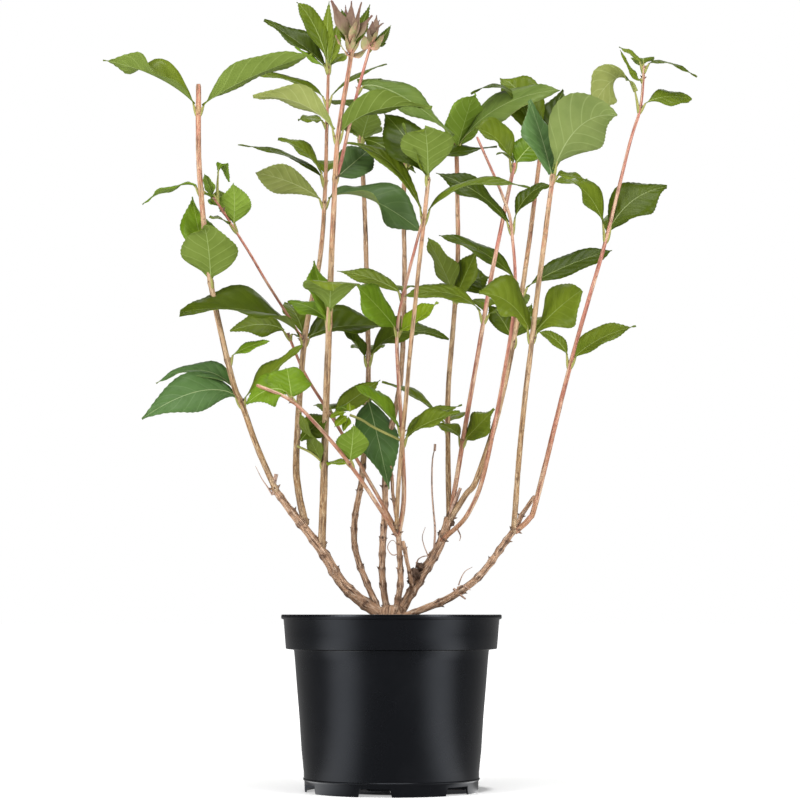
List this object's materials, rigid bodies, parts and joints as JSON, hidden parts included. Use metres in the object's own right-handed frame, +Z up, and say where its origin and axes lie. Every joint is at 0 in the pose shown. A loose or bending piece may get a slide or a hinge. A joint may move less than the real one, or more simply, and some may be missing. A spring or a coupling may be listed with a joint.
{
  "type": "potted shrub",
  "caption": "Young deciduous weigela shrub with upright canes and paired toothed leaves, growing in a round black plastic nursery pot.",
  "frame": {"origin": "on the ground under the middle of the plant's footprint box", "axes": "+Z up; +X to the plant's right seen from the front; -Y towards the front"},
  "size_m": [0.5978, 0.3582, 0.8132],
  "materials": {
    "pot": "satin black, moulded",
    "soil": "crumbly moist potting mix",
    "bark": "grey-brown flaking bark",
    "tan_bark": "tan striped bark",
    "young_bark": "smooth red-pink young bark",
    "leaf": "mid-green leaf blades, soft sheen",
    "dark_leaf": "dark green leaf blades, soft sheen",
    "bud": "purple-brown unfolding buds"
  },
  "bodies": {
    "root": {"pot": "pot", "soil": "soil", "root_crown": "bark", "bough_left": "bark", "bough_middle": "bark", "bough_right": "bark", "stem_centre": "bark", "stem_strut": "bark", "left_cane_1": "tan_bark", "left_cane_2": "tan_bark", "left_cane_3": "tan_bark", "left_cane_3_side": "young_bark", "left_cane_4": "bark", "left_cane_5": "bark", "left_cane_2_side": "young_bark", "centre_cane_1": "young_bark", "centre_cane_2": "young_bark", "centre_cane_3": "young_bark", "centre_cane_3_fork": "tan_bark", "stub_centre": "bark", "middle_cane_1": "tan_bark", "middle_cane_2": "young_bark", "middle_cane_3": "tan_bark", "middle_cane_4": "young_bark", "right_cane_1": "tan_bark", "right_cane_2": "young_bark", "stub_right": "bark", "foliage_left_cane_1_top": "leaf", "foliage_left_cane_1_upper": "leaf", "foliage_left_cane_1_middle": "dark_leaf", "foliage_left_cane_1_low": "leaf", "foliage_left_cane_2_low": "dark_leaf", "foliage_left_cane_2_middle": "leaf", "foliage_left_cane_2_top": "dark_leaf", "foliage_left_cane_3_middle": "leaf", "foliage_left_cane_3_upper": "leaf", "foliage_buds_left": "bud", "foliage_buds_right": "bud", "foliage_left_cane_4_low": "dark_leaf", "foliage_left_cane_4_middle": "dark_leaf", "foliage_back_top": "dark_leaf", "foliage_centre_cane_1_tip": "leaf", "foliage_low_left": "leaf", "foliage_centre_cane_2": "leaf", "foliage_centre_cane_3_low": "leaf", "foliage_centre_cane_3_middle": "leaf", "foliage_centre_fork_top": "leaf", "foliage_middle_low": "dark_leaf", "foliage_middle_cane_1_middle": "dark_leaf", "foliage_middle_cane_1_top": "leaf", "foliage_middle_cane_2_middle": "leaf", "foliage_middle_cane_2_top": "leaf", "foliage_middle_cane_3_middle": "leaf", "foliage_middle_cane_3_top": "dark_leaf", "foliage_middle_cane_4": "leaf", "foliage_right_cane_1_middle": "leaf", "foliage_right_cane_1_top": "leaf", "foliage_right_cane_2_low": "leaf", "foliage_right_cane_2_middle": "dark_leaf", "foliage_right_cane_2_top": "leaf"}
  },
  "joints": []
}
